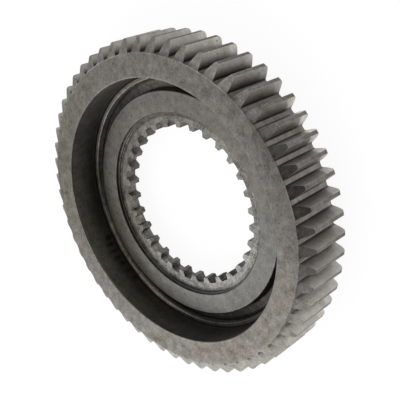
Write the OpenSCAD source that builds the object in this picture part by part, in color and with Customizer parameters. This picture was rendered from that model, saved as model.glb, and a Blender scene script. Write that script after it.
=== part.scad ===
// Spur gear of a heavy gearbox, in one piece: outer teeth with chamfered front ends, a deep front
// recess with a groove at its foot, and a hub web with internal clutch teeth.
// It lies on its back face. The origin is the centre of that face, and +Z runs along the bore
// towards the recessed front.

/* [Outer teeth] */
// Number of outer teeth
tooth_count = 57; // [53:1:61]
// Module of the outer teeth
tooth_module = 4.233; // [4.1:0.001:4.4]
// Pressure angle of the outer teeth, in degrees
pressure_angle = 20; // [18:0.5:22]
// Height of a tooth above the pitch circle
tooth_addendum = 4.4; // [3.4:0.1:4.6]
// Depth of a tooth space below the pitch circle
tooth_dedendum = 5.2; // [4.2:0.1:5.4]
// Play taken off the tooth thickness on the pitch circle
tooth_backlash = 0.5; // [0:0.05:0.8]
// Radius of the fillet at the foot of a tooth
tooth_fillet_r = 1.2; // [0.6:0.1:1.4]

/* [Rim] */
// Width of the gear from the back face to the front face
face_width = 39.5; // [36:0.5:44]
// Depth along the axis of the chamfer on the front ends of the teeth
front_chamfer = 5.5; // [4:0.5:9]
// Step from the floor of the tooth spaces in to the edge of the front face
face_margin = 0.2; // [0.1:0.1:1.5]
// Rounding of the tooth tips at the back face
back_tip_r = 2.4; // [1.5:0.1:3]
// Width of the flat front face
rim_w = 17; // [14:0.5:20]

/* [Recess] */
// Depth of the recess from the front face to its shoulder
recess_depth = 23.3; // [21:0.1:25]
// Radius in the corner between the recess wall and the shoulder
recess_corner_r = 1.7; // [0.8:0.1:2.5]
// Width of the flat shoulder at the foot of the recess
shoulder_w = 2.6; // [1.5:0.1:4]
// Depth of the groove below the shoulder
groove_depth = 6.8; // [4.5:0.1:8.5]
// Width of the groove between the shoulder and the hub
groove_w = 8.6; // [7:0.1:11]
// Radius in the bottom corners of the groove
groove_corner_r = 2; // [1:0.1:3]

/* [Hub] */
// Depth of the hub face below the front face
hub_face_depth = 20.4; // [18:0.1:21]
// Diameter of the first step down inside the hub face
outer_step_d = 140; // [139:0.5:144]
// Diameter of the second step
inner_step_d = 137; // [132:0.5:138]
// Drop of each of the two steps
step_drop = 1.85; // [1:0.05:2.5]
// Diameter of the recess in the back face
back_recess_d = 144; // [138:0.5:150]
// Depth of the recess in the back face
back_recess_depth = 6.1; // [4:0.1:8]
// Bevel on the turned edges
edge_break = 0.6; // [0.3:0.1:1]

/* [Clutch teeth] */
// Number of internal teeth
clutch_count = 30; // [28:1:32]
// Module that spaces the internal teeth on their pitch circle
clutch_module = 4; // [3.9:0.02:4.08]
// Diameter across the tips of the internal teeth
clutch_tip_d = 116; // [115:0.1:118]
// Height of the internal teeth
clutch_height = 4.15; // [3:0.05:4.5]
// Thickness of an internal tooth on its pitch circle
clutch_tooth_w = 4.8; // [4.4:0.1:5.2]
// Angle from the middle of an outer tooth to the middle of a space between internal teeth
clutch_turn = 4.2; // [0:0.1:12]

/* [Hidden] */
$fn = 96;
steel = [0.46, 0.45, 0.42];
// Straight steps that draw one flank, one tooth fillet and one turned corner
flank_steps = 5;
fillet_steps = 3;
corner_steps = 5;
// How far a cutting shape runs past the surface that it cuts
overrun = 1;

pitch_r = tooth_count * tooth_module / 2;
tip_r = pitch_r + tooth_addendum;
root_r = pitch_r - tooth_dedendum;
base_r = pitch_r * cos(pressure_angle);
face_r = root_r - face_margin;
recess_r = face_r - rim_w;
shoulder_r = recess_r - recess_corner_r;
groove_r = shoulder_r - shoulder_w;
hub_r = groove_r - groove_w;
outer_step_r = outer_step_d / 2;
inner_step_r = inner_step_d / 2;
back_recess_r = back_recess_d / 2;
clutch_tip_r = clutch_tip_d / 2;
clutch_root_r = clutch_tip_r + clutch_height;
clutch_pitch_r = clutch_count * clutch_module / 2;
clutch_base_r = min(clutch_pitch_r * cos(pressure_angle), clutch_tip_r - overrun);

shoulder_z = face_width - recess_depth;
groove_z = shoulder_z - groove_depth;
hub_z = face_width - hub_face_depth;
outer_step_z = hub_z - step_drop;
web_z = outer_step_z - step_drop;

function degrees(angle) = angle * 180 / PI;
function polar(radius, angle) = [radius * cos(angle), radius * sin(angle)];
function involute(angle) = degrees(tan(angle)) - angle;
// Angle from the middle of a tooth to its flank, at a radius
function flank_angle(radius, pitch, base, thickness) =
    degrees(thickness / 2 / pitch) + involute(acos(base / pitch)) - involute(acos(base / radius));
function arc(centre, radius, from, to, steps) =
    [for (i = [0:steps]) centre + polar(radius, from + (to - from) * i / steps)];
function mirrored(points) = [for (i = [len(points) - 1:-1:0]) [points[i].x, -points[i].y]];
function turned(points, angle) =
    [for (p = points) [p.x * cos(angle) - p.y * sin(angle), p.x * sin(angle) + p.y * cos(angle)]];
function direction(from, to) = atan2(to.y - from.y, to.x - from.x);

// Upper half of one outer tooth about the X axis, from past its tip down to the floor of the space.
// A curve parallel to an involute is the same involute turned, which places the fillet's centre.
function half_tooth() =
    let (thickness = PI * tooth_module / 2 - tooth_backlash,
         centre_r = root_r + tooth_fillet_r,
         foot_r = norm([base_r, sqrt(centre_r ^ 2 - base_r ^ 2) - tooth_fillet_r]),
         centre_angle = flank_angle(centre_r, pitch_r, base_r, thickness) + degrees(tooth_fillet_r / base_r),
         centre = polar(centre_r, centre_angle),
         foot = polar(foot_r, flank_angle(foot_r, pitch_r, base_r, thickness)),
         foot_turn = direction(centre, foot),
         floor_turn = centre_angle - 180)
    concat([for (i = [0:flank_steps - 1])
                let (radius = tip_r + overrun + (foot_r - tip_r - overrun) * i / flank_steps)
                polar(radius, flank_angle(radius, pitch_r, base_r, thickness))],
           arc(centre, tooth_fillet_r, foot_turn, floor_turn, fillet_steps));

// Upper half of one space between internal teeth, which has the form of an outer tooth
function half_space() =
    let (space = PI * clutch_module - clutch_tooth_w, end_r = clutch_root_r + overrun,
         start_r = clutch_tip_r - overrun / 2)
    [for (i = [0:flank_steps])
        let (radius = end_r + (start_r - end_r) * i / flank_steps)
        polar(radius, flank_angle(radius, clutch_pitch_r, clutch_base_r, space))];

// Half section of the whole gear as it is turned, before the teeth are cut
function section() =
    concat([[clutch_tip_r, back_recess_depth], [back_recess_r, back_recess_depth],
            [back_recess_r, edge_break], [back_recess_r + edge_break, 0]],
           arc([tip_r - back_tip_r, back_tip_r], back_tip_r, -90, 0, corner_steps),
           [[tip_r, face_width - front_chamfer], [face_r, face_width],
            [recess_r + edge_break, face_width], [recess_r, face_width - edge_break]],
           arc([recess_r - recess_corner_r, shoulder_z + recess_corner_r], recess_corner_r, 0, -90, corner_steps),
           [[groove_r + edge_break, shoulder_z], [groove_r, shoulder_z - edge_break]],
           arc([groove_r - groove_corner_r, groove_z + groove_corner_r], groove_corner_r, 0, -90, corner_steps),
           arc([hub_r + groove_corner_r, groove_z + groove_corner_r], groove_corner_r, 270, 180, corner_steps),
           [[hub_r, hub_z - edge_break], [hub_r - edge_break, hub_z],
            [outer_step_r, hub_z], [outer_step_r, outer_step_z],
            [inner_step_r, outer_step_z], [inner_step_r, web_z], [clutch_tip_r, web_z]]);

module blank() {
    rotate_extrude() polygon(section());
}

module toothed_disc() {
    half = half_tooth();
    pitch = 360 / tooth_count;
    linear_extrude(face_width)
        polygon([for (i = [0:tooth_count - 1]) each turned(concat(mirrored(half), half), i * pitch)]);
}

module clutch_spaces() {
    half = half_space();
    intersection() {
        cylinder(h = face_width, r = clutch_root_r);
        for (i = [0:clutch_count - 1])
            rotate(clutch_turn + i * 360 / clutch_count)
                linear_extrude(face_width) polygon(concat(mirrored(half), half));
    }
}

module gear() {
    color(steel)
        difference() {
            intersection() {
                blank();
                toothed_disc();
            }
            clutch_spaces();
        }
}

gear();
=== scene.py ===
import math

import bmesh
import bpy
from bpy.props import FloatProperty, FloatVectorProperty, PointerProperty
from mathutils import Euler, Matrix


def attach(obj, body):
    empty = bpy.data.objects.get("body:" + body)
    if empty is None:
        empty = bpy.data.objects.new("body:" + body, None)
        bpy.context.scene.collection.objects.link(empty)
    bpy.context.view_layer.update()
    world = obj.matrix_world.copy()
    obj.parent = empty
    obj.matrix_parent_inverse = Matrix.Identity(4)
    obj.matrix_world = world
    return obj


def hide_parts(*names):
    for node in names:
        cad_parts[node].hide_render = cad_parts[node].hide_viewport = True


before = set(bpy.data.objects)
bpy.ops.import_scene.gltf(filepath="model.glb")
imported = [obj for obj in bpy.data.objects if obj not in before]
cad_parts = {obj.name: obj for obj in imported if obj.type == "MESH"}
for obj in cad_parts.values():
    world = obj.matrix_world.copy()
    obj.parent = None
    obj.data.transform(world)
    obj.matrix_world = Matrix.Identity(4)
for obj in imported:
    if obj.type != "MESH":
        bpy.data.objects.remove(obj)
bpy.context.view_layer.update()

bl_info = {
    "name": "Spur gear with clutch teeth",
    "version": (1, 0, 0),
    "blender": (4, 5, 0),
    "location": "View3D > Sidebar > Gear",
    "description": "Builds the steel gear and its studio round the CAD frame",
    "category": "Object",
}

# Radii and heights of the turned faces, in metres, as in the CAD.
TIP_R = 0.12504
ROOT_R = 0.11544
RECESS_R = 0.09824
GROOVE_R = 0.09394
HUB_R = 0.08534
STEP_R = 0.0685
CLUTCH_ROOT_R = 0.06215
CLUTCH_TIP_R = 0.058
FACE_Z = 0.0395
HUB_Z = 0.0191
SHOULDER_Z = 0.0162
WEB_Z = 0.0154
GROOVE_Z = 0.0094

# Limits between the kinds of face, in metres, and how near a face lies to its own height or radius.
TURNED_R = ROOT_R - 0.001
TEETH_R = ROOT_R - 0.0013
LAND_R = TIP_R - 0.0006
RIM_Z = FACE_Z - 0.001
RECESS_CORNER_R = GROOVE_R + 0.002
SHOULDER_R = GROOVE_R + 0.0003
SHOULDER_LOW_Z = GROOVE_Z + 0.003
GROOVE_CORNER_R = GROOVE_R - 0.0025
GROOVE_CORNER_Z = GROOVE_Z + 0.0019
GROOVE_FLOOR_R = HUB_R + 0.0008
HUB_WALL_R = HUB_R - 0.0012
CLUTCH_MIDDLE_R = CLUTCH_TIP_R + 0.001
NEAR = 0.0004

# How much of a face's normal points in a direction, from a face that leans that way to a square one.
LEANING = 0.3
HALFWAY = 0.5
MOSTLY = 0.8
SQUARE = 0.9
FLAT = 0.95
LEVEL = 0.99

# Work on the CAD mesh: how near points are welded and how near places count as one, in metres, the angles of
# flat and sharp edges, and the steps of a rounding.
WELD = 1e-6
SAME = 1e-5
FLAT_ANGLE = math.radians(0.05)
SHARP_ANGLE = math.radians(28)
ROUND_STEPS = 2

# Values stored on each face for the steel. The tone partly holds painted light and shade, and the rounded
# edge along the top of an outer tooth is darkened with painted shade instead of worn.
LAYERS = ("tone", "rough", "edge", "uneven", "flank", "front", "chamfer")
TOOTH_EDGE_SHADE = -0.8

# How each face reflects: its tone against the clean steel, its roughness, and how mottled it is. The tones
# were matched face by face and partly hold painted light and shade: the high tones of the flank, the
# shoulder and the groove wall are painted light, and the low ones of the recess wall, the corners, the hub
# wall and the step are painted shade.
FACES = {
    "rim": (0.99, 0.4, 0.92),
    "chamfer": (1.15, 0.46, 1.0),
    "land": (1.1, 0.5, 1.0),
    "flank": (2.55, 0.6, 0.5),
    "valley": (0.93, 0.5, 0.8),
    "recess_wall": (0.74, 0.65, 0.8),
    "recess_edge": (0.55, 0.5, 0.6),
    "recess_corner": (0.5, 0.65, 0.6),
    "shoulder": (2.0, 0.5, 1.0),
    "groove_wall": (2.2, 0.7, 1.0),
    "groove_corner": (0.5, 0.7, 1.0),
    "groove": (1.05, 0.6, 1.3),
    "hub_wall": (0.45, 0.6, 1.0),
    "hub": (1.15, 0.46, 0.7),
    "step": (0.6, 0.46, 1.0),
    "web": (1.21, 0.46, 1.5),
    "clutch_front": (1.4, 0.44, 1.4),
    "clutch_flank": (0.97, 0.5, 1.8),
    "clutch_tip": (0.97, 0.5, 1.8),
    "clutch_root": (1.15, 0.5, 1.8),
    "back": (1.0, 0.5, 1.0),
}

# Gains on the tone of each kind of face round the gear, matched sector by sector: partly wear and oil,
# partly painted light and shade. Azimuth of the middle and half the sector's width in degrees, gain.
SIDES = {
    "chamfer": (
        (9, 33, 0.85),
        (-28, 42, -0.56),
        (-78, 14, -0.2),
        (-150, 40, 0.3),
        (168, 30, -0.35),
    ),
    "flank": (
        (26, 18, 0.14),
        (45, 40, 0.15),
        (78, 35, -0.15),
        (-24, 42, -0.2),
        (-90, 13, -0.12),
        (-95, 60, 0.5),
        (-126, 16, 0.2),
        (-150, 30, 0.4),
    ),
    "valley": ((48, 35, 1.0), (132, 55, -0.8), (-58, 80, 1.2)),
    "land": ((48, 50, -0.5), (-75, 60, 0.2)),
    "recess_wall": ((-156, 32, 0.3),),
    "recess_edge": ((105, 50, -0.5), (-140, 60, 2.0)),
    "shoulder": ((66, 18, -0.3), (112, 32, 0.5), (-162, 32, 1.1)),
    "groove_wall": ((55, 33, 1.1),),
    "groove_corner": ((52, 38, 1.6),),
    "groove": ((62, 18, 0.6), (110, 52, -0.6), (-90, 28, 0.25)),
    "hub": ((30, 60, -0.1), (105, 30, -0.12), (-36, 32, -0.1), (-114, 18, 0.1), (-155, 50, 0.3)),
    "step": ((145, 45, -0.45),),
    "web": ((-26, 20, -0.2), (-67, 24, 0.18)),
    "clutch_flank": ((-105, 45, -0.55),),
    "clutch_tip": ((75, 40, -0.7), (-105, 40, -0.25)),
    "clutch_root": ((80, 40, 0.5), (-115, 50, -0.35)),
}

# Masks on the gear. Each line fades over the radius or over the height, from its first place to its second,
# and from 0 to 1 where it says nothing else. The lines of a mask are multiplied. The masks outer_line,
# inner_line, step_line and groove_lip carry painted highlights; rim_foot, flank_deep, chamfer_foot,
# recess_wall, shoulder, shoulder_inside, shoulder_outside, groove and beside_step carry painted shade.
MASKS = {
    "turned": (("radius", ROOT_R, TURNED_R),),
    "rim": (
        ("height", FACE_Z - 0.0008, FACE_Z - 0.0004),
        ("radius", ROOT_R, TURNED_R),
    ),
    "outer_line": (
        ("radius", ROOT_R - 0.0009, ROOT_R - 0.0005),
        ("height", FACE_Z - 0.0004, FACE_Z - 0.0002),
    ),
    "inner_line": (
        ("radius", RECESS_R + 0.0014, RECESS_R + 0.0009),
        ("height", FACE_Z - 0.0006, FACE_Z - 0.0003),
    ),
    "rim_foot": (
        ("radius", ROOT_R - 0.0003, ROOT_R - 0.0001),
        ("radius", ROOT_R + 0.0006, ROOT_R + 0.0003),
        ("height", FACE_Z - 0.002, FACE_Z - 0.001),
    ),
    "flank_deep": (("radius", ROOT_R + 0.007, ROOT_R + 0.001, 0.0, 0.6),),
    "chamfer_foot": (("radius", ROOT_R + 0.004, ROOT_R, -0.1, 0.42),),
    "recess_wall": (
        ("radius", RECESS_R - 0.0019, RECESS_R - 0.0016),
        ("radius", RECESS_R + 0.002, RECESS_R + 0.001),
        ("height", FACE_Z - 0.0003, FACE_Z - 0.0008),
        ("height", SHOULDER_Z - 0.003, SHOULDER_Z - 0.001),
    ),
    "shoulder": (
        ("radius", GROOVE_R - 0.0001, GROOVE_R),
        ("radius", RECESS_R - 0.001, RECESS_R - 0.0015),
        ("height", SHOULDER_LOW_Z, SHOULDER_Z - 0.0005),
    ),
    "shoulder_inside": (("radius", GROOVE_R + 0.0009, GROOVE_R + 0.0003, 0.0, 0.5),),
    "shoulder_outside": (
        ("radius", GROOVE_R + 0.0021, GROOVE_R + 0.0031),
        ("radius", RECESS_R, RECESS_R - 0.001),
        ("height", SHOULDER_Z - 0.001, SHOULDER_Z - 0.0005, 0.0, 0.9),
    ),
    "groove": (
        ("radius", HUB_R + 0.0005, HUB_R + 0.001),
        ("radius", GROOVE_R + 0.001, GROOVE_R + 0.0005),
        ("height", SHOULDER_Z - 0.0003, SHOULDER_Z - 0.001),
        ("height", GROOVE_Z - 0.002, GROOVE_Z - 0.0005),
    ),
    "groove_lip": (
        ("radius", GROOVE_R - 0.001, GROOVE_R - 0.0003),
        ("radius", GROOVE_R + 0.0005, GROOVE_R + 0.0001),
        ("height", SHOULDER_Z - 0.003, SHOULDER_Z - 0.0015),
        ("height", SHOULDER_Z, SHOULDER_Z - 0.0003),
    ),
    "step_line": (
        ("radius", STEP_R - 0.0005, STEP_R - 0.0002),
        ("radius", STEP_R + 0.0005, STEP_R + 0.0002),
        ("height", WEB_Z - 0.001, WEB_Z - 0.0003),
    ),
    "beside_step": (
        ("radius", STEP_R - 0.0035, STEP_R - 0.0015),
        ("radius", STEP_R, STEP_R - 0.0003),
        ("height", WEB_Z + 0.0003, WEB_Z + 0.0001),
    ),
    "cool": (("radius", HUB_R, HUB_R - 0.001),),
    "recess_oil": (("height", FACE_Z - 0.0004, FACE_Z - 0.001),),
    "marks": (("height", GROOVE_Z - 0.001, GROOVE_Z),),
    "ring_contrast": (("radius", STEP_R, STEP_R - 0.001, 0.3, 0.9),),
}

# Values that change round the gear: azimuth in degrees, then the two distances from the axis, in metres and
# measured towards that azimuth, between which the value goes from low to high, then low and high. Those of
# outer_line, inner_line, step_line and groove_lip are painted highlights, those of painted_light_web painted
# light, those of rim painted light and shade, and those of rim_foot, flank_foot, flank_deep, chamfer_foot,
# recess_low, recess_wall, shoulder, groove and beside_step painted shade.
SECTORS = {
    "outer_line": ((35, -0.01, 0.06, 0.0, 1.0),),
    "inner_line": ((45, 0.0, 0.07, 0.0, 0.2), (-155, 0.03, 0.08, 0.0, 0.4)),
    "rim_foot": ((0, 0.04, 0.09, 0.0, 0.2), (-150, 0.06, 0.1, 0.0, 0.35)),
    "rim": ((50, 0.06, 0.11, 0.0, 0.12), (-27, 0.096, 0.107, 0.0, -0.15), (-130, 0.1, 0.108, 0.0, -0.08)),
    "rim_film": ((-92, 0.05, 0.1, 0.0, 1.0), (125, 0.07, 0.1, 0.0, 0.7)),
    "rim_oil": ((125, 0.06, 0.11, 0.0, 0.5),),
    "flank_foot": ((-60, 0.0, 0.1, 0.18, 0.42),),
    "flank_deep": ((60, 0.045, 0.095, 0.0, 1.0),),
    "chamfer_foot": ((-20, 0.02, 0.08, 0.0, 1.0),),
    "back_band": ((25, 0.05, 0.1, 0.15, 1.0),),
    "back_gain": ((60, 0.05, 0.075, 1.3, 0.35),),
    "recess_low": ((155, 0.03, 0.09, 0.85, 0.38),),
    "recess_wall": ((148, 0.07, 0.096, 1.0, 1.6), (-122, 0.055, 0.09, 1.0, 0.6)),
    "recess_oil": ((165, 0.04, 0.09, 0.05, 0.65),),
    "shoulder": ((-114, 0.065, 0.09, 0.0, 0.7),),
    "groove": ((-130, 0.062, 0.086, 0.0, 0.47),),
    "groove_lip": ((-176, 0.06, 0.09, 0.0, 2.0),),
    "step_line": ((145, 0.02, 0.06, 0.0, 1.4),),
    "beside_step": ((70, 0.03, 0.06, 0.0, 0.5), (-95, 0.03, 0.06, 0.0, 0.35)),
    "painted_light_web": ((-128, 0.0, 0.06, 0.0, 0.45),),
    "cool": ((-110, -0.01, 0.05, 0.0, 0.8),),
    "marks": ((140, 0.0, 0.09, 0.2, 0.75),),
}

# Painted shade in the feet of the flanks: the radii where it starts and where it ends.
FLANK_FOOT = (ROOT_R + 0.0006, ROOT_R + 0.0028)

# Painted shade on the recess wall: it grows lighter between these heights, up to this gain.
RECESS_HEIGHTS = (SHOULDER_Z - 0.001, SHOULDER_Z + 0.015)
RECESS_TOP = 1.05

# The lighter band on the back ends of the flanks: the heights where it starts and is full, how far its edge
# wanders, and how much it leans for each metre under the tip.
BACK_BAND = (0.0108, 0.0078)
BACK_WANDER = 0.004
BACK_LEAN = 0.45

# Noises: scale for each metre, detail, roughness. Those of scale 1 have grains of their own, or follow the
# turning marks.
NOISES = {
    "clouds": (50, 3, 0.55),
    "blotches": (170, 3, 0.55),
    "streaks": (1, 2, 0.5),
    "grain": (800, 3, 0.6),
    "rings": (1, 2, 0.6),
    "outer_line": (90, 3, 0.5),
    "wander": (110, 3, 0.5),
    "warm": (1, 4, 0.6),
    "film": (140, 5, 0.65),
    "olive": (105, 4, 0.6),
    "stains": (420, 4, 0.65),
    "marks": (1, 2, 0.5),
    "pits": (430, 2, 0.5),
    "pitted": (70, 2, 0.5),
}

# Size of the grains of some noises, in metres: along, across and up. The warm ones are turned by an angle in
# radians.
GRAINS = {
    "streaks": (0.005, 0.0018, 0.004),
    "warm": (0.008, 0.008, 0.008),
    "marks": (0.0045, 0.0016, 0.01),
}
WARM_TURN = 0.4

RINGS_PER_METRE = 1500

# Patches made of a noise: the values of the noise where they start and are full, then their strength there.
PATCHES = {
    "outer_line": (0.4, 0.6, 0.1, 0.7),
    "warm": (0.36, 0.62, 0.0, 1.0),
    "film": (0.42, 0.6, 0.0, 1.0),
    "olive": (0.54, 0.66, 0.0, 1.0),
    "stains": (0.38, 0.6, 0.0, 1.0),
    "marks": (0.6, 0.67, 0.0, 1.0),
    "pits": (0.34, 0.26, 0.0, 1.0),
    "pitted": (0.42, 0.58, 0.15, 1.0),
}

# Shares of the noises in the mottling, in the roughness and in the relief.
MOTTLE = {"clouds": 0.8, "blotches": 1.5, "streaks": 0.5, "grain": 1.6}
ROUGH_CLOUDS = 0.25
ROUGH_STAINS = 0.2
ROUGH_EDGES = 0.1
ROUGH_BACK = 0.1
RELIEF_GRAIN = 0.6
RELIEF_RINGS = 0.4
RELIEF_DEPTH = 0.0002

# Brown stains on the rim and the hub: angle in degrees, radius, half the length along and across the rim in
# metres, strength.
STAINS = [
    (108, 0.108, 0.010, 0.004, 0.5),
    (122, 0.1045, 0.016, 0.004, 0.55),
    (136, 0.1075, 0.014, 0.004, 0.5),
    (88.5, 0.110, 0.005, 0.003, 0.5),
    (-145, 0.1105, 0.014, 0.005, 0.75),
    (-118, 0.104, 0.016, 0.005, 0.4),
    (-104, 0.108, 0.014, 0.005, 0.4),
    (-88, 0.112, 0.008, 0.003, 0.4),
    (-55.6, 0.0727, 0.003, 0.002, 0.6),
    (-47.7, 0.1047, 0.003, 0.002, 0.6),
    (0.1, 0.1238, 0.004, 0.003, 0.7),
    (158, 0.0744, 0.012, 0.004, 0.35),
    (144, 0.1055, 0.0022, 0.0016, 0.9),
    (122, 0.1033, 0.0022, 0.0016, 0.9),
]

# Dark smears on the recess wall: angle in degrees, height, half the width and half the length up the wall in
# metres.
SMEARS = [
    (163, 0.0195, 0.0035, 0.005),
    (166.5, 0.0215, 0.002, 0.007),
    (170, 0.0215, 0.0018, 0.007),
    (173.5, 0.0205, 0.0024, 0.006),
    (177, 0.0195, 0.0022, 0.005),
    (-178.5, 0.019, 0.003, 0.004),
    (-174, 0.0185, 0.0035, 0.003),
]

# Half the size of a stain and of a smear square to the face.
STAIN_HEIGHT = 0.02
SMEAR_DEPTH = 0.01

# The share of a stain or smear, from its middle, that has the full strength.
SPOT_MIDDLE = 0.2

# Colour and strength of the smears, the short marks and the pits.
SMEAR_COLOR = (0.02, 0.016, 0.01, 1)
SMEAR_STRENGTH = 0.65
MARK_COLOR = (0.06, 0.055, 0.045, 1)
PIT_COLOR = (0.04, 0.033, 0.025, 1)
PIT_STRENGTH = 0.7

# The photograph's camera: place in metres, turn in degrees, width of the sensor in millimetres, and the
# nearest distance that it sees in metres.
CAMERA_PLACE = (0.41126, -0.10886, 0.39333)
CAMERA_TURN = (-25.694, 41.2406, -50.7256)
CAMERA_SENSOR = 36
CAMERA_NEAREST = 0.01

# The floor's own glow, and the share of it that the camera and reflections see.
FLOOR_GLOW = 1.07
FLOOR_SEEN = 0.86
FLOOR_MIRRORED = 0.8

# Two cones of the room, in degrees: azimuth and elevation of the middle, half the width outside and inside.
DARK_CONE = (-46, 46, 95, 20)
SOFT_CONE = (210, 22, 48, 8)

WHITE = (1, 1, 1, 1)


def direction(azimuth, elevation):
    """The unit vector that points there, both angles in degrees."""
    a, e = math.radians(azimuth), math.radians(elevation)
    return (math.cos(a) * math.cos(e), math.sin(a) * math.cos(e), math.sin(e))


def height_at(r):
    """The height of the front face at this radius."""
    if r > RECESS_R:
        return FACE_Z
    return HUB_Z if r > STEP_R else WEB_Z


def face_kind(centre, normal):
    """The name in FACES of the face with this centre and normal."""
    r = math.hypot(centre.x, centre.y)
    outward = (normal.x * centre.x + normal.y * centre.y) / r
    if normal.z < -HALFWAY:
        return "back"
    if r > TEETH_R and abs(normal.z) < LEANING:
        if outward > SQUARE:
            return "land" if r > LAND_R else "valley"
        return "flank"
    if r > ROOT_R and normal.z > LEANING:
        return "chamfer"
    if centre.z > RIM_Z:
        return "recess_edge" if outward < -LEANING else "rim"
    if outward < -SQUARE and r > RECESS_CORNER_R:
        return "recess_wall"
    if r > RECESS_CORNER_R and normal.z < FLAT:
        return "recess_corner"
    if r > SHOULDER_R and centre.z > SHOULDER_LOW_Z:
        return "shoulder"
    if r > GROOVE_FLOOR_R:
        if r > GROOVE_CORNER_R and centre.z < GROOVE_CORNER_Z and normal.z < LEVEL:
            return "groove_corner"
        return "groove_wall" if outward < -HALFWAY else "groove"
    if r > HUB_WALL_R and outward > MOSTLY:
        return "hub_wall"
    if centre.z > HUB_Z - NEAR:
        return "hub"
    if r > STEP_R - NEAR and centre.z > WEB_Z + NEAR:
        return "step"
    if normal.z > SQUARE:
        return "web" if r > CLUTCH_ROOT_R else "clutch_front"
    if outward < -MOSTLY:
        return "clutch_tip" if r < CLUTCH_MIDDLE_R else "clutch_root"
    return "clutch_flank"


def side_gain(kind, centre):
    """The factor of SIDES on the tone of this kind of face at this place."""
    azimuth = math.degrees(math.atan2(centre.y, centre.x))
    factor = 1.0
    for middle, half, gain in SIDES.get(kind, ()):
        away = abs((azimuth - middle + 180) % 360 - 180)
        if away < half:
            factor *= 1.0 + gain * math.cos(math.radians(90 * away / half)) ** 2
    return factor


def worn_edge(edge):
    """True for the edge of a turned face, or for an edge along the top of an outer tooth."""
    a, b = (v.co for v in edge.verts)
    ra, rb = math.hypot(a.x, a.y), math.hypot(b.x, b.y)
    level = abs(a.z - b.z) < SAME and abs(ra - rb) < 2 * SAME
    upright = math.hypot(a.x - b.x, a.y - b.y) < SAME
    return (level and CLUTCH_ROOT_R + NEAR < ra < TURNED_R) or (upright and ra > TIP_R - NEAR / 2)


class Nodes:
    """Adds nodes to a tree. A value is a number, a tuple or another node's output."""

    def __init__(self, tree):
        self.tree = tree

    def add(self, kind, inputs=None, **settings):
        """Adds a node with these settings and with these values on its inputs."""
        made = self.tree.nodes.new(kind)
        for name, value in settings.items():
            setattr(made, name, value)
        for name, value in (inputs or {}).items():
            if isinstance(value, bpy.types.NodeSocket):
                self.tree.links.new(value, made.inputs[name])
            else:
                made.inputs[name].default_value = value
        return made

    def calc(self, operation, first, *others):
        """Works one operation out on the values, from the first to the last."""
        for other in others:
            first = self.add("ShaderNodeMath", {0: first, 1: other}, operation=operation).outputs[0]
        return first

    def centred(self, noise):
        """The noise counted from its middle."""
        return self.calc("SUBTRACT", noise, 0.5)

    def product(self, *values):
        return self.calc("MULTIPLY", *values)

    def sum(self, *values):
        return self.calc("ADD", *values)

    def largest(self, *values):
        return self.calc("MAXIMUM", *values)

    def without(self, share):
        """What is left of 1 when this share is taken off."""
        return self.calc("SUBTRACT", 1.0, share)

    def fade(self, value, start, end, low=0.0, high=1.0):
        """Goes smoothly from low to high while value goes from start to end."""
        limits = {"From Min": start, "From Max": end, "To Min": low, "To Max": high}
        made = self.add("ShaderNodeMapRange", {"Value": value, **limits}, interpolation_type="SMOOTHSTEP")
        return made.outputs[0]

    def blend(self, share, first, second):
        """The first colour where share is 0 and the second where it is 1."""
        return self.add("ShaderNodeMix", {0: share, 6: first, 7: second}, data_type="RGBA").outputs[2]

    def between(self, share, first, second):
        """The first number where share is 0 and the second where it is 1."""
        return self.add("ShaderNodeMix", {0: share, 2: first, 3: second}, data_type="FLOAT").outputs[0]

    def length(self, vector):
        return self.add("ShaderNodeVectorMath", {0: vector}, operation="LENGTH").outputs["Value"]

    def reach(self, vector, azimuth, elevation):
        """How far a vector reaches in a direction."""
        values = {0: vector, 1: direction(azimuth, elevation)}
        return self.add("ShaderNodeVectorMath", values, operation="DOT_PRODUCT").outputs["Value"]

    def mapped(self, place, size, turn, centre=(0, 0, 0)):
        """Coordinates with their zero at a centre, turned about Z and measured in this size."""
        values = {"Vector": place, "Location": centre, "Rotation": (0, 0, turn), "Scale": size}
        return self.add("ShaderNodeMapping", values, vector_type="TEXTURE").outputs[0]

    def cone(self, way, cone, low, high):
        """Goes from low outside a cone of the room to high in its middle."""
        azimuth, elevation, outside, inside = cone
        edges = [math.cos(math.radians(angle)) for angle in (outside, inside)]
        return self.fade(self.reach(way, azimuth, elevation), *edges, low, high)


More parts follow.
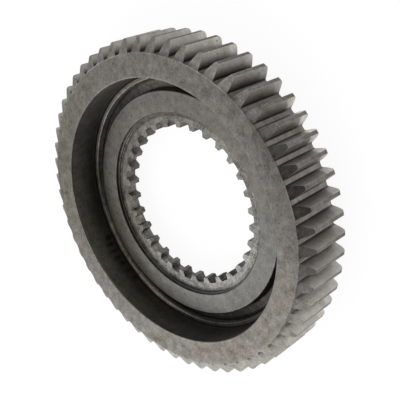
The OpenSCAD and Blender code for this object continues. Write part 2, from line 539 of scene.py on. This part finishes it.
class GearNodes(Nodes):
    """Nodes on the gear: they know the radius, the height and the azimuth of a place on it."""

    def __init__(self, tree):
        super().__init__(tree)
        self.place = self.add("ShaderNodeTexCoord").outputs["Object"]
        xyz = self.add("ShaderNodeSeparateXYZ", {0: self.place}).outputs
        self.flat = self.add("ShaderNodeCombineXYZ", {0: xyz[0], 1: xyz[1]}).outputs[0]
        self.along = {"radius": self.length(self.flat), "height": xyz[2]}
        self.turned = self.mask("turned")
        self.rim = self.mask("rim")
        self.wall = self.mask("recess_wall")
        self.groove = self.mask("groove")
        self.edge = self.stored("edge")
        self.flank = self.stored("flank")
        self.film_side = self.product(self.rim, self.around("rim_film"))

    def stored(self, name):
        """A value of LAYERS."""
        return self.add("ShaderNodeAttribute", attribute_name=name).outputs["Fac"]

    def mask(self, name):
        """A mask of MASKS."""
        return self.product(*(self.fade(self.along[axis], *limits) for axis, *limits in MASKS[name]))

    def around(self, name, operation="MAXIMUM"):
        """A value of SECTORS. The operation joins its lines."""
        lines = [self.fade(self.reach(self.flat, turn, 0), *limits) for turn, *limits in SECTORS[name]]
        return self.calc(operation, *lines)

    def marked(self, name):
        """A mask with the strength that it has round the gear."""
        return self.product(self.mask(name), self.around(name))

    def noise(self, name, place=None):
        """A noise of NOISES, on the gear itself where no place is given."""
        scale, detail, roughness = NOISES[name]
        values = {"Scale": scale, "Detail": detail, "Roughness": roughness}
        values["Vector"] = self.place if place is None else place
        return self.add("ShaderNodeTexNoise", values).outputs["Fac"]

    def grains(self, name, place, turn):
        """A noise with the grains of GRAINS, turned about Z."""
        return self.noise(name, self.mapped(place, GRAINS[name], turn))

    def patches(self, name, noise):
        """The patches of PATCHES in a noise."""
        return self.fade(noise, *PATCHES[name])

    def spot(self, angle, r, height, size):
        """1 at the middle of an oval spot and 0 outside it. The size is across, along and up."""
        turn = math.radians(angle)
        centre = (r * math.cos(turn), r * math.sin(turn), height)
        return self.fade(self.length(self.mapped(self.place, size, turn, centre)), 1.0, SPOT_MIDDLE)


def turning_marks(gear):
    """The noise of the turning marks: it follows the radius on the faces and the height on the walls."""
    places = [gear.product(gear.along[axis], RINGS_PER_METRE) for axis in ("radius", "height")]
    return gear.noise("rings", gear.add("ShaderNodeCombineXYZ", dict(enumerate(places))).outputs[0])


def mottling(gear, look, clouds, grain):
    """Wide clouds, blotches a few millimetres wide, short streaks and fine grain."""
    noises = {
        "clouds": clouds,
        "blotches": gear.noise("blotches"),
        "streaks": gear.grains("streaks", gear.place, look.streak_turn),
        "grain": grain,
    }
    shares = [
        gear.product(gear.centred(noise), MOTTLE[name] * look.mottle) for name, noise in noises.items()
    ]
    return gear.product(gear.sum(*shares), gear.stored("uneven"))


def back_ends(gear):
    """The lighter band on the back ends of the flanks, with an edge that wanders and leans."""
    wander = gear.product(gear.centred(gear.noise("wander")), BACK_WANDER)
    lean = gear.product(gear.calc("SUBTRACT", TIP_R, gear.along["radius"]), BACK_LEAN)
    band = gear.fade(gear.sum(gear.along["height"], wander, lean), *BACK_BAND)
    return gear.product(band, gear.flank, gear.around("back_band"))


def painted_highlights(gear):
    """Painted highlights along the edges and painted light on one side of the web, less the painted shade in
    the strip beside the step.
    """
    front = gear.stored("front")
    breaks = gear.patches("outer_line", gear.noise("outer_line"))
    outer_line = gear.product(gear.marked("outer_line"), breaks)
    # Painted light on one side of the web and the clutch fronts.
    clean = gear.product(gear.around("painted_light_web"), front)
    others = [gear.marked(name) for name in ("inner_line", "step_line", "groove_lip")]
    # Painted shade on the web beside the step.
    dark = gear.product(gear.marked("beside_step"), front)
    return gear.calc("SUBTRACT", gear.sum(outer_line, clean, *others), dark)


def painted_shade(gear):
    """Painted shade: the share of its tone that a place keeps in the feet of the flanks and chamfers, at the
    foot of the rim, on the shoulder, in the groove and in the depth of the recess.
    """
    low = gear.around("flank_foot")
    foot = gear.fade(gear.along["radius"], *FLANK_FOOT, low, 1.0)
    foot = gear.product(foot, gear.without(gear.marked("flank_deep")))
    foot = gear.between(gear.flank, 1.0, foot)
    chamfer_foot = gear.product(gear.marked("chamfer_foot"), gear.stored("chamfer"))

    low = gear.around("recess_low")
    depth = gear.fade(gear.along["height"], *RECESS_HEIGHTS, low, RECESS_TOP)
    depth = gear.product(depth, gear.around("recess_wall", "MULTIPLY"))
    depth = gear.between(gear.wall, 1.0, depth)

    # Painted shade on the shoulder and in the groove, heavier on some sides.
    shoulder_shade = gear.largest(gear.around("shoulder"), gear.mask("shoulder_inside"))
    shoulder_shade = gear.product(shoulder_shade, gear.mask("shoulder"))
    groove_shade = gear.product(gear.groove, gear.around("groove"))
    dark = gear.largest(gear.mask("shoulder_outside"), shoulder_shade, groove_shade)

    kept = [gear.without(share) for share in (chamfer_foot, gear.marked("rim_foot"), dark)]
    return gear.product(foot, depth, *kept)


def steel_tint(gear, look):
    """The steel's colour, with warm patches, a cool side of the hub, a film on the rim, and old oil."""
    warm = gear.patches("warm", gear.grains("warm", gear.place, WARM_TURN))
    film = gear.patches("film", gear.noise("film"))
    olive = gear.patches("olive", gear.noise("olive", gear.flat))
    oil = gear.largest(gear.marked("recess_oil"), gear.product(gear.rim, gear.around("rim_oil")))
    layers = (
        (gear.product(warm, gear.without(gear.flank)), look.steel_warm),
        (gear.marked("cool"), look.steel_cool),
        (gear.product(gear.film_side, film, look.film), look.film_color),
        (gear.product(gear.film_side, olive, look.film), look.oil),
        (gear.product(oil, gear.turned), look.oil),
    )
    tint = (*look.steel, 1)
    for share, color in layers:
        tint = gear.blend(share, tint, (*color, 1))
    return tint


def stains_of(gear, look):
    """The brown stains, broken up by a noise."""
    spots = [
        gear.product(gear.spot(angle, r, height_at(r), (across, along, STAIN_HEIGHT)), strength)
        for angle, r, along, across, strength in STAINS
    ]
    return gear.product(gear.largest(*spots), gear.patches("stains", gear.noise("stains")), look.stains)


def smears_of(gear):
    """The dark smears on the recess wall."""
    spots = [
        gear.spot(angle, RECESS_R, height, (SMEAR_DEPTH, wide, tall)) for angle, height, wide, tall in SMEARS
    ]
    return gear.product(gear.largest(*spots), SMEAR_STRENGTH)


def marks_of(gear, look):
    """Short dark marks on the front faces, most of them on one side."""
    marks = gear.patches("marks", gear.grains("marks", gear.flat, look.streak_turn))
    elsewhere = gear.without(gear.largest(gear.wall, gear.groove))
    return gear.product(marks, gear.marked("marks"), elsewhere, gear.turned)


def make_steel(look):
    """The matte, worn and stained steel of the whole gear, whose tone partly holds painted light and shade.
    """
    material = bpy.data.materials.new("steel")
    material.use_nodes = True
    tree = material.node_tree
    gear = GearNodes(tree)
    clouds, grain, rings = gear.noise("clouds"), gear.noise("grain"), turning_marks(gear)
    back_band = back_ends(gear)

    ring_tone = gear.product(gear.centred(rings), gear.mask("ring_contrast"), gear.turned)
    # Gains on the tone: mottling and turning marks, painted highlights and shade along lines, the lighter
    # back band, worn edges with painted shade on the tooth tops, and painted light and shade on the rim
    # round the gear.
    gains = (
        gear.sum(mottling(gear, look, clouds, grain), ring_tone),
        painted_highlights(gear),
        gear.product(back_band, gear.around("back_gain")),
        gear.product(gear.edge, look.edge_wear),
        gear.product(gear.rim, gear.around("rim", "ADD")),
    )
    # The stored tone, which partly holds painted light and shade, times the painted shade of the feet and
    # the recess, times the gains.
    tone = gear.product(gear.stored("tone"), painted_shade(gear), *(gear.sum(1.0, gain) for gain in gains))
    tint = steel_tint(gear, look)
    base = gear.add("ShaderNodeVectorMath", {0: tint, 3: tone}, operation="SCALE").outputs[0]

    stains = stains_of(gear, look)
    pitted = gear.largest(gear.patches("pitted", gear.noise("pitted")), gear.film_side)
    pits = gear.product(gear.patches("pits", gear.noise("pits")), pitted)
    base = gear.blend(stains, base, (*look.stain, 1))
    base = gear.blend(smears_of(gear), base, SMEAR_COLOR)
    base = gear.blend(marks_of(gear, look), base, MARK_COLOR)
    base = gear.blend(gear.product(pits, PIT_STRENGTH), base, PIT_COLOR)

    rough = gear.sum(
        gear.stored("rough"),
        gear.product(gear.centred(clouds), ROUGH_CLOUDS),
        gear.product(stains, ROUGH_STAINS),
        gear.product(gear.edge, -ROUGH_EDGES),
        gear.product(back_band, ROUGH_BACK),
    )
    relief = gear.sum(gear.product(grain, RELIEF_GRAIN), gear.product(rings, gear.turned, RELIEF_RINGS))
    relief = gear.calc("SUBTRACT", relief, pits)
    values = {"Strength": look.bump, "Distance": RELIEF_DEPTH, "Height": relief}
    bump = gear.add("ShaderNodeBump", values).outputs[0]

    shader = tree.nodes["Principled BSDF"]
    for socket, value in (("Base Color", base), ("Roughness", rough), ("Normal", bump)):
        tree.links.new(value, shader.inputs[socket])
    shader.inputs["Metallic"].default_value = 1.0
    return material


def make_floor(stage):
    """A white floor that keeps the gear's soft shadow."""
    half = stage.floor_size / 2
    corners = [(-half, -half, 0), (half, -half, 0), (half, half, 0), (-half, half, 0)]
    mesh = bpy.data.meshes.new("floor")
    mesh.from_pydata(corners, [], [(0, 1, 2, 3)])
    material = bpy.data.materials.new("floor")
    material.use_nodes = True
    nodes = Nodes(material.node_tree)
    shader = nodes.tree.nodes["Principled BSDF"]
    shader.inputs["Base Color"].default_value = (*stage.floor_color, 1)
    shader.inputs["Roughness"].default_value = 1.0
    shader.inputs["Specular IOR Level"].default_value = 0.0
    ray = nodes.add("ShaderNodeLightPath").outputs
    mirrored = nodes.largest(ray["Is Glossy Ray"], ray["Is Transmission Ray"])
    seen = nodes.product(ray["Is Camera Ray"], FLOOR_SEEN)
    share = nodes.sum(seen, nodes.product(mirrored, FLOOR_MIRRORED))
    glow = nodes.add("ShaderNodeEmission", {"Color": WHITE, "Strength": FLOOR_GLOW}).outputs[0]
    mixed = nodes.add("ShaderNodeMixShader", {0: share, 1: shader.outputs[0], 2: glow}).outputs[0]
    nodes.tree.links.new(mixed, nodes.tree.nodes["Material Output"].inputs["Surface"])
    mesh.materials.append(material)
    return bpy.data.objects.new("floor", mesh)


def make_camera(stage):
    """The camera at the photograph's place."""
    data = bpy.data.cameras.new("camera")
    data.sensor_width = CAMERA_SENSOR
    data.lens = stage.lens
    data.clip_start = CAMERA_NEAREST
    camera = bpy.data.objects.new("camera", data)
    camera.location = CAMERA_PLACE
    camera.rotation_euler = Euler([math.radians(angle) for angle in CAMERA_TURN])
    return camera


def make_room(stage):
    """A room that is dark behind the camera and white all round, with a soft light low on one side."""
    world = bpy.data.worlds.new("studio")
    world.use_nodes = True
    nodes = Nodes(world.node_tree)
    way = nodes.add("ShaderNodeTexCoord").outputs["Generated"]
    room = nodes.cone(way, DARK_CONE, 1.0, stage.room_dark)
    soft = nodes.cone(way, SOFT_CONE, 0.0, stage.side_light)
    seen = nodes.add("ShaderNodeLightPath").outputs["Is Camera Ray"]
    level = nodes.between(seen, nodes.sum(room, soft), 1.0)
    sky = nodes.tree.nodes["Background"]
    sky.inputs["Color"].default_value = WHITE
    nodes.tree.links.new(level, sky.inputs["Strength"])
    return world


class GearLook(bpy.types.PropertyGroup):
    """Colours and wear of the gear"""

    edge_round: FloatProperty(
        name="Edge rounding",
        description="Width of the worn rounding on the sharp edges",
        default=0.0003,
        min=0.0,
        max=0.001,
        precision=5,
        subtype="DISTANCE",
        unit="LENGTH",
    )
    steel: FloatVectorProperty(
        name="Steel",
        description="Colour of the clean grey steel",
        default=(0.163, 0.157, 0.146),
        size=3,
        min=0.0,
        max=1.0,
        subtype="COLOR",
    )
    steel_warm: FloatVectorProperty(
        name="Warm steel",
        description="Colour of the steel under a film of oil",
        default=(0.164, 0.1555, 0.138),
        size=3,
        min=0.0,
        max=1.0,
        subtype="COLOR",
    )
    steel_cool: FloatVectorProperty(
        name="Cool steel",
        description="Colour of the wiped steel on the hub",
        default=(0.158, 0.1575, 0.1485),
        size=3,
        min=0.0,
        max=1.0,
        subtype="COLOR",
    )
    oil: FloatVectorProperty(
        name="Oil",
        description="Colour of the steel under old oil",
        default=(0.16, 0.15, 0.118),
        size=3,
        min=0.0,
        max=1.0,
        subtype="COLOR",
    )
    stain: FloatVectorProperty(
        name="Stain",
        description="Colour of the brown stains",
        default=(0.13, 0.095, 0.06),
        size=3,
        min=0.0,
        max=1.0,
        subtype="COLOR",
    )
    stains: FloatProperty(
        name="Stains",
        description="Strength of the brown stains",
        default=1.0,
        min=0.0,
        max=1.0,
        subtype="FACTOR",
    )
    film_color: FloatVectorProperty(
        name="Film colour",
        description="Colour of the blotchy film on the rim",
        default=(0.179, 0.147, 0.125),
        size=3,
        min=0.0,
        max=1.0,
        subtype="COLOR",
    )
    film: FloatProperty(
        name="Film",
        description="Strength of the blotchy film on the rim",
        default=0.5,
        min=0.0,
        max=1.0,
        subtype="FACTOR",
    )
    mottle: FloatProperty(
        name="Mottling",
        description="Contrast of the clouds and streaks on the steel",
        default=0.8,
        min=0.0,
        max=1.0,
        subtype="FACTOR",
    )
    streak_turn: FloatProperty(
        name="Streak direction",
        description="Direction of the streaks on the faces",
        default=math.radians(39),
        subtype="ANGLE",
        unit="ROTATION",
    )
    # It also sets how much painted shade darkens the top edges of the outer teeth.
    edge_wear: FloatProperty(
        name="Edge wear",
        description="How much brighter the worn edges are",
        default=0.5,
        min=0.0,
        max=3.0,
    )
    bump: FloatProperty(
        name="Relief",
        description="Strength of the fine relief of the surface",
        default=0.35,
        min=0.0,
        max=1.0,
        subtype="FACTOR",
    )


class GearStage(bpy.types.PropertyGroup):
    """The floor, the light and the camera"""

    floor_size: FloatProperty(
        name="Floor size",
        description="Side of the square floor",
        default=8.0,
        min=1.0,
        subtype="DISTANCE",
        unit="LENGTH",
    )
    floor_color: FloatVectorProperty(
        name="Floor",
        description="Colour of the floor",
        default=(0.9, 0.9, 0.9),
        size=3,
        min=0.0,
        max=1.0,
        subtype="COLOR",
    )
    room_dark: FloatProperty(
        name="Dark side",
        description="Brightness of the room behind the camera",
        default=0.3,
        min=0.0,
        max=1.0,
        subtype="FACTOR",
    )
    side_light: FloatProperty(
        name="Side light",
        description="Brightness of the soft light low on one side",
        default=1.8,
        min=0.0,
        max=6.0,
    )
    lens: FloatProperty(
        name="Lens",
        description="Focal length of the camera",
        default=70.422,
        min=20.0,
        subtype="DISTANCE_CAMERA",
        unit="CAMERA",
    )


class GEAR_OT_body(bpy.types.Operator):
    """Makes the gear from the CAD part, with worn edges and stained steel"""

    bl_idname = "gear.body"
    bl_label = "Gear"

    def execute(self, context):
        look = context.scene.gear_look
        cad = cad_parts["gear"]
        bm = bmesh.new()
        bm.from_mesh(cad.data)
        bmesh.ops.remove_doubles(bm, verts=bm.verts, dist=WELD)
        if any(not e.is_manifold for e in bm.edges):
            raise RuntimeError("the gear's surface isn't closed")
        flat = [e for e in bm.edges if e.calc_face_angle() < FLAT_ANGLE]
        bmesh.ops.dissolve_edges(bm, edges=flat, use_verts=False, use_face_split=False)
        sharp = [e for e in bm.edges if e.calc_face_angle() > SHARP_ANGLE and worn_edge(e)]
        made = bmesh.ops.bevel(
            bm,
            geom=sharp,
            offset=look.edge_round,
            offset_type="OFFSET",
            affect="EDGES",
            segments=ROUND_STEPS,
            profile=0.5,
            clamp_overlap=False,
            material=-1,
        )
        rounded = set(made["faces"])
        bmesh.ops.triangulate(bm, faces=[f for f in bm.faces if len(f.verts) > 4])
        bm.normal_update()
        for edge in bm.edges:
            edge.smooth = edge.calc_face_angle(0.0) < SHARP_ANGLE
        layers = {name: bm.faces.layers.float.new(name) for name in LAYERS}
        for face in bm.faces:
            face.smooth = True
            centre = face.calc_center_median()
            kind = face_kind(centre, face.normal)
            tone, rough, uneven = FACES[kind]
            worn = 0.0
            # A rounded edge lightens as wear; along the top of an outer tooth it darkens instead, as painted
            # shade.
            if face in rounded:
                worn = 1.0 if centre.xy.length < ROOT_R else TOOTH_EDGE_SHADE
            # The tone of each kind of face and its gain round the gear partly hold painted light and shade.
            face[layers["tone"]] = tone * side_gain(kind, centre)
            face[layers["rough"]] = rough
            face[layers["edge"]] = worn
            face[layers["uneven"]] = uneven
            face[layers["flank"]] = float(kind == "flank")
            face[layers["front"]] = float(kind in ("web", "clutch_front"))
            face[layers["chamfer"]] = float(kind == "chamfer")
        mesh = bpy.data.meshes.new("steel_gear")
        bm.to_mesh(mesh)
        bm.free()
        piece = bpy.data.objects.new("steel_gear", mesh)
        context.scene.collection.objects.link(piece)
        mesh.materials.append(make_steel(look))
        shading = piece.modifiers.new("shading", "WEIGHTED_NORMAL")
        shading.keep_sharp = True
        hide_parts("gear")
        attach(piece, "root")
        return {"FINISHED"}


class GEAR_OT_stage(bpy.types.Operator):
    """Makes the white floor, the light all round and the camera"""

    bl_idname = "gear.stage"
    bl_label = "Stage"

    def execute(self, context):
        scene = context.scene
        stage = scene.gear_stage
        floor = make_floor(stage)
        scene.collection.objects.link(floor)
        camera = make_camera(stage)
        scene.collection.objects.link(camera)
        scene.camera = camera
        scene.world = make_room(stage)
        scene.view_settings.view_transform = "Standard"
        return {"FINISHED"}


class GEAR_PT_panel(bpy.types.Panel):
    """Lists the pieces and their settings"""

    bl_idname = "GEAR_PT_panel"
    bl_label = "Gear"
    bl_space_type = "VIEW_3D"
    bl_region_type = "UI"
    bl_category = "Gear"

    def draw(self, context):
        for group, button in (("gear_look", "gear.body"), ("gear_stage", "gear.stage")):
            box = self.layout.box()
            settings = getattr(context.scene, group)
            for name in settings.__annotations__:
                box.prop(settings, name)
            box.operator(button)


CLASSES = (GearLook, GearStage, GEAR_OT_body, GEAR_OT_stage, GEAR_PT_panel)


def register():
    for cls in CLASSES:
        bpy.utils.register_class(cls)
    bpy.types.Scene.gear_look = PointerProperty(type=GearLook)
    bpy.types.Scene.gear_stage = PointerProperty(type=GearStage)


def unregister():
    del bpy.types.Scene.gear_stage
    del bpy.types.Scene.gear_look
    for cls in reversed(CLASSES):
        bpy.utils.unregister_class(cls)


def main():
    register()
    bpy.ops.gear.body()
    bpy.ops.gear.stage()


if __name__ == "__main__":
    main()
